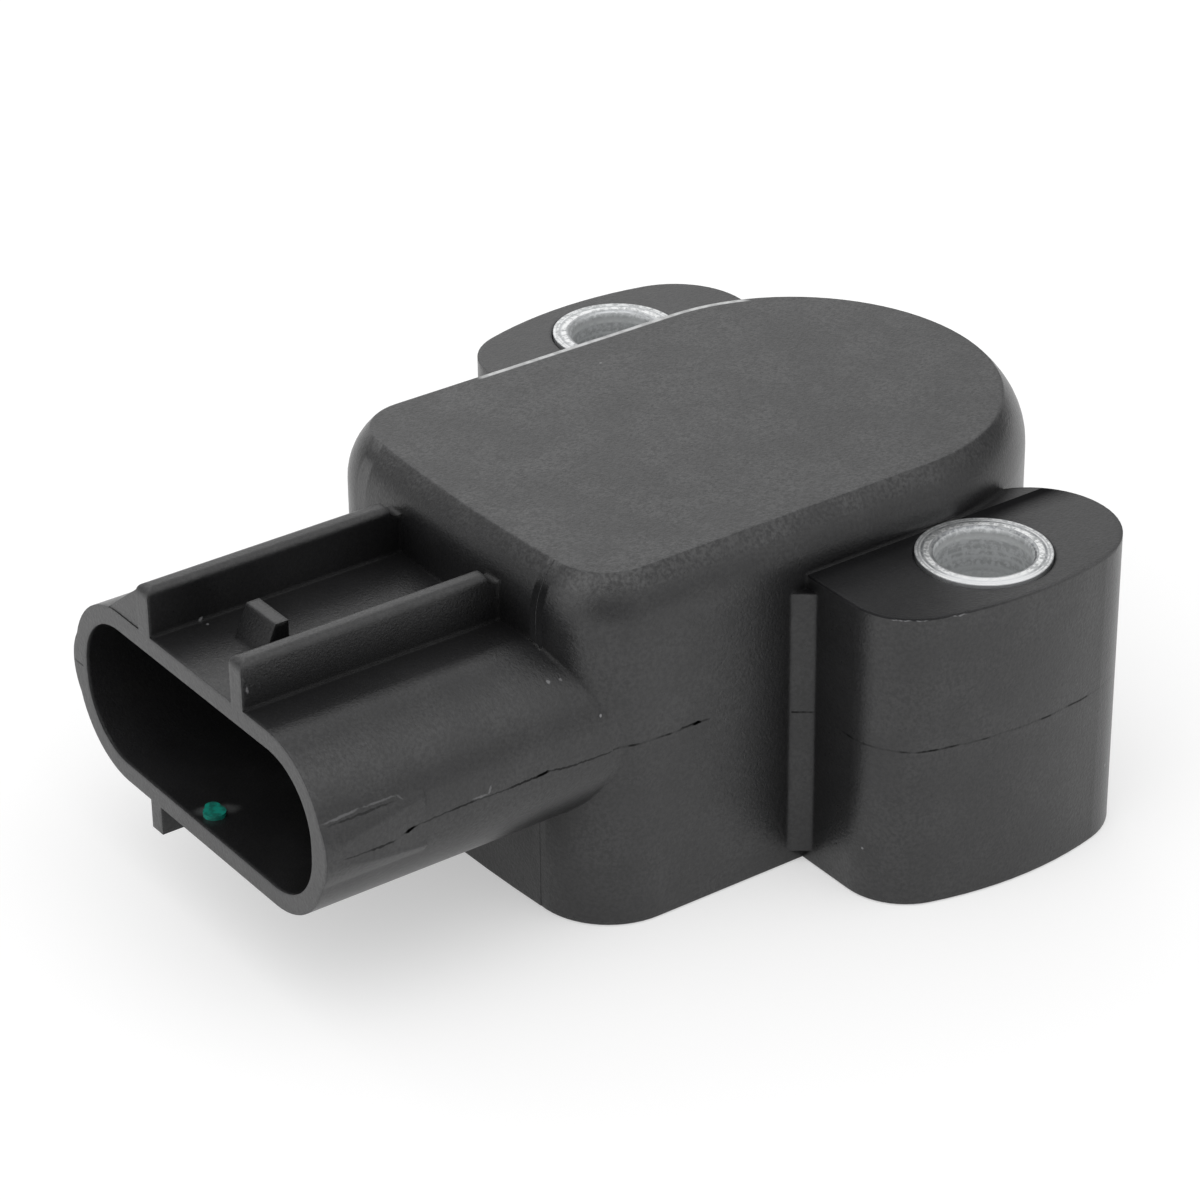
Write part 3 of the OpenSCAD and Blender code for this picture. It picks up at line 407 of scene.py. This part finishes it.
# ---- Return spring ----
# Steel wire wound into four turns, with one leg held by the cover and one in the rotor's
# flange. Drawn through a die, the wire is evenly bright and smooth. The sweep along its
# centre line is a Geometry Nodes tree.
wire, place = begin("drawn_spring_wire")
bright = add("TexNoise", place, Scale=1 / (0.5 * mm), Detail=3.0)
dress([], wire, Metallic=1.0, Roughness=0.3,
      Base_Color=add("Mix", bright, "#8e9193", "#b4b6b8", **colour))
wire_r, wire_sides = 0.4, 12
coil_r, coil_turns, coil_pitch, coil_z, coil_steps = 7.4, 4, 1.05, 3.6, 48
leg_bend, leg_reach, leg_top, bend_step = 1.0, 9.2, 10.95, 15
start = math.radians(200)
coil_top = coil_z + coil_turns * coil_pitch
line = [(leg_reach, -leg_bend, coil_z)]
for a in range(0, 90, bend_step):
    a = math.radians(a)
    line.append((coil_r + leg_bend * (1 - math.sin(a)), -leg_bend * math.cos(a), coil_z))
for i in range(coil_turns * coil_steps + 1):
    a = math.tau * i / coil_steps
    line.append((coil_r * math.cos(a), coil_r * math.sin(a),
                 coil_z + coil_pitch * i / coil_steps))
for a in range(bend_step, 91, bend_step):
    a = math.radians(a)
    line.append((coil_r, leg_bend * math.sin(a), coil_top + leg_bend * (1 - math.cos(a))))
line.append((coil_r, leg_bend, leg_top))
line = [(mm * (x * math.cos(start) - y * math.sin(start)),
         mm * (x * math.sin(start) + y * math.cos(start)), mm * z) for x, y, z in line]
path = bpy.data.meshes.new("spring_line")
path.from_pydata(line, [(i, i + 1) for i in range(len(line) - 1)], [])
spring = bpy.data.objects.new("spring_wound", path)
bpy.context.scene.collection.objects.link(spring)

tree = bpy.data.node_groups.new("wire_along_line", "GeometryNodeTree")
sockets = tree.interface
sockets.new_socket("Geometry", in_out="INPUT", socket_type="NodeSocketGeometry")
radius = sockets.new_socket("Wire radius", in_out="INPUT", socket_type="NodeSocketFloat")
sides = sockets.new_socket("Points round the wire", in_out="INPUT",
                           socket_type="NodeSocketInt")
sockets.new_socket("Geometry", in_out="OUTPUT", socket_type="NodeSocketGeometry")
given = add("NodeGroupInput").outputs
section = add("GeometryNodeCurvePrimitiveCircle", Radius=given["Wire radius"],
              Resolution=given["Points round the wire"])
swept = add("GeometryNodeCurveToMesh", add("GeometryNodeMeshToCurve", given["Geometry"]),
            section, Fill_Caps=True)
real = add("GeometryNodeRealizeInstances", swept)
add("NodeGroupOutput", add("GeometryNodeSetMaterial", real, Material=wire))
modifier = spring.modifiers.new("wire", "NODES")
modifier.node_group = tree
modifier[radius.identifier] = wire_r * mm
modifier[sides.identifier] = wire_sides
bpy.context.view_layer.update()
wound = spring.evaluated_get(bpy.context.evaluated_depsgraph_get())
wound = bpy.data.meshes.new_from_object(wound)
spring.modifiers.clear()
spring.data = wound
wound.shade_smooth()
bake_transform(spring)
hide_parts("return_spring")

# ---- Track board and its tracks ----
# Fired alumina, chalk white and matt, with a carbon resistor arc and a silver collector
# arc screen printed on its underside: one dull black, the other a pale dry silver.
ceramic, place = begin("alumina_ceramic_fired")
dress(["track_board"], ceramic, Roughness=0.55,
      Base_Color=add("Mix", add("TexNoise", place, Scale=1 / (0.3 * mm)), "#dcd8cc",
                     "#e8e5dc", **colour))
for name, dark, pale, metal in (("resistive_track", "#1a1816", "#2b2825", 0.0),
                                ("collector_track", "#9a9ca0", "#b9bbbe", 1.0)):
    ink, place = begin("printed_ink_" + name)
    flakes = add("TexNoise", place, Scale=1 / (0.15 * mm), Detail=3.0)
    dress([name], ink, Metallic=metal, Roughness=0.5,
          Base_Color=add("Mix", flakes, dark, pale, **colour))

# ---- Wiper ----
# Two fingers cut from thin nickel silver spring sheet, riveted to the rotor. The metal is
# a warm white with the streaks of the rolls.


def rolled_strip(nodes, name, dark, pale):
    """Rolled sheet metal with streaks in its colour and its gloss, which are drawn 1 mm long
    and an eighth as wide, coarser than the real ones, so that they show."""
    strip, place = begin(name)
    rolled = add("Mapping", place, Scale=(8.0, 1.0, 8.0))
    streaks = add("TexNoise", rolled, Scale=1 / (1.0 * mm), Detail=3.0, Roughness=0.6)
    dress(nodes, strip, Metallic=1.0, Base_Color=add("Mix", streaks, dark, pale, **colour),
          Roughness=add("Math.MULTIPLY_ADD", streaks, 0.2, 0.22))


rolled_strip(["wiper"], "nickel_silver_sheet", "#b9a878", "#cfc09a")

# ---- Terminals and board clips ----
# Stamped from brass strip and tinned: a dull white through which the brass just shows.
# Each blade runs from the socket to its own clip, which grips the board's edge.
rolled_strip(["terminal_supply", "terminal_signal", "terminal_ground",
              "clip_supply", "clip_signal", "clip_ground"],
             "tinned_brass_strip", "#b3a888", "#cfc8b4")

# ---- Terminal sealant ----
# Epoxy resin poured round the blades behind the socket's floor. It levelled itself and
# cured brown and glossy.
resin, place = begin("cured_epoxy_sealant")
dress(["terminal_sealant"], resin, Roughness=0.25,
      Base_Color=add("Mix", add("TexNoise", place, Scale=1 / (1.5 * mm)), "#4a3826",
                     "#5c4730", **colour))

# ---- Floor, light and camera ----
# A plain pale floor under the mounting face, soft light from eight directions round and
# above the object, and the camera where the photograph was taken from.
bpy.ops.mesh.primitive_plane_add(size=4.0, location=(0, 0, -0.1 * mm))
floor = bpy.context.object
floor.name = "floor"
paper, _ = begin("white_paper_floor")
ray = add("LightPath").outputs
seen = add("Math.MAXIMUM", add("Math.MAXIMUM", ray["Is Camera Ray"], ray["Is Glossy Ray"]),
           ray["Is Transmission Ray"])
glow = add("Math.MAXIMUM", add("Math.MULTIPLY", ray["Is Camera Ray"], 0.42),
           add("Math.MULTIPLY", seen, 0.33))
dress([], paper, Base_Color="#d2d2d2", Roughness=0.9, Specular_IOR_Level=0.0,
      Emission_Color="#ffffff", Emission_Strength=glow)
floor.data.materials.append(paper)

world = bpy.data.worlds.new("studio")
bpy.context.scene.world = world
world.use_nodes = True
tree = world.node_tree
tree.nodes.clear()
toward = add("TexCoord").outputs["Generated"]
light, narrowness = 0.03, 6.0
lamps = (  # degrees round from the object's right, degrees up, strength
    (0, 25, 0.58), (45, 25, 0.64), (135, 25, 0.57), (180, 25, 1.27), (270, 25, 1.39),
    (45, 60, 0.53), (315, 60, 1.0), (0, 90, 0.66))
for turn, height, strength in lamps:
    turn, height = math.radians(turn), math.radians(height)
    aim = (math.cos(height) * math.cos(turn), math.cos(height) * math.sin(turn),
           math.sin(height))
    facing = add("Math.MAXIMUM", add("VectorMath.DOT_PRODUCT", toward, aim), 0.0)
    light = add("Math.MULTIPLY_ADD", add("Math.POWER", facing, narrowness), strength, light)
light = add("Math.MAXIMUM", add("LightPath").outputs["Is Camera Ray"], light)
add("OutputWorld", add("Background", "#ffffff", light))

bpy.context.scene.view_settings.view_transform = "Standard"
azimuth, elevation, roll = (math.radians(a) for a in (54.52, 29.60, -0.59))
eye = (0.17466, -0.13840, 0.13419)
right = Vector((math.cos(azimuth), math.sin(azimuth), 0))
back = Vector((math.sin(azimuth) * math.cos(elevation),
               -math.cos(azimuth) * math.cos(elevation), math.sin(elevation)))
up = back.cross(right)
right, up = (math.cos(roll) * right + math.sin(roll) * up,
             math.cos(roll) * up - math.sin(roll) * right)
camera = bpy.data.objects.new("camera", bpy.data.cameras.new("camera"))
camera.data.lens, camera.data.sensor_width = 127.88, 36
camera.data.clip_start = 0.01
turned = Matrix((right, up, back)).transposed().to_4x4()
camera.matrix_world = Matrix.Translation(eye) @ turned
bpy.context.scene.collection.objects.link(camera)
bpy.context.scene.camera = camera
